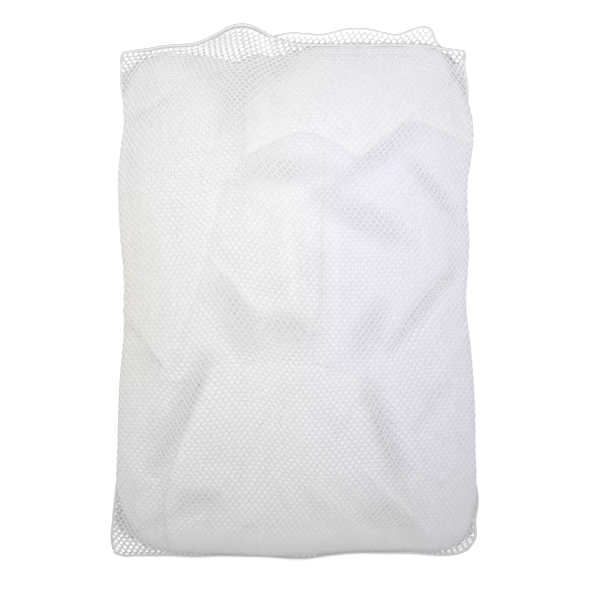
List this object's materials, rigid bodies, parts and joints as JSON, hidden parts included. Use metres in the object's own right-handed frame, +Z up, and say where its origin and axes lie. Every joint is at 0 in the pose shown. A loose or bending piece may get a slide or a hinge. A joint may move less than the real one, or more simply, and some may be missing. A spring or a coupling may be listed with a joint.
{
  "type": "mesh laundry bag",
  "caption": "White net laundry bag, sewn along both sides and the bottom, with an open hemmed mouth, filled with folded white linens and lying flat.",
  "frame": {"origin": "on the floor under the middle of the bag's outline", "axes": "+Y along the bag from the sewn bottom to the open mouth, +X across the bag to the right as seen from above with the mouth away, +Z up through its thickness"},
  "size_m": [0.61, 0.8865, 0.115],
  "materials": {
    "net": "knitted polyester net, soft white",
    "seam": "rolled net, sewn flat",
    "thread": "white polyester thread",
    "linen_white": "washed white cotton",
    "linen_cool": "washed white cotton with a cool tint"
  },
  "bodies": {
    "bag": {"front_panel": "net", "back_panel": "net", "back_mouth_lip": "net", "left_side_seam": "seam", "right_side_seam": "seam", "bottom_seam": "seam", "back_mouth_hem": "seam", "mouth_bartacks": "thread", "left_seam_thread": "thread", "right_seam_thread": "thread", "bottom_seam_thread": "thread", "back_hem_thread": "thread", "linen_base_lower": "linen_white", "linen_base_upper": "linen_white", "linen_left": "linen_white", "linen_top": "linen_white", "linen_centre": "linen_white", "linen_right": "linen_cool", "linen_lower": "linen_white", "linen_bottom_right": "linen_cool"},
    "front_lip": {"front_mouth_lip": "net", "front_mouth_hem": "seam", "front_hem_thread": "thread"}
  },
  "joints": [
    {"name": "front_lip_lift", "type": "hinge", "parent": "bag", "child": "front_lip", "pos_m": [0, 0.39125, 0.014], "axis": [1, 0.0044, 0], "range_deg": [0, 120]}
  ]
}
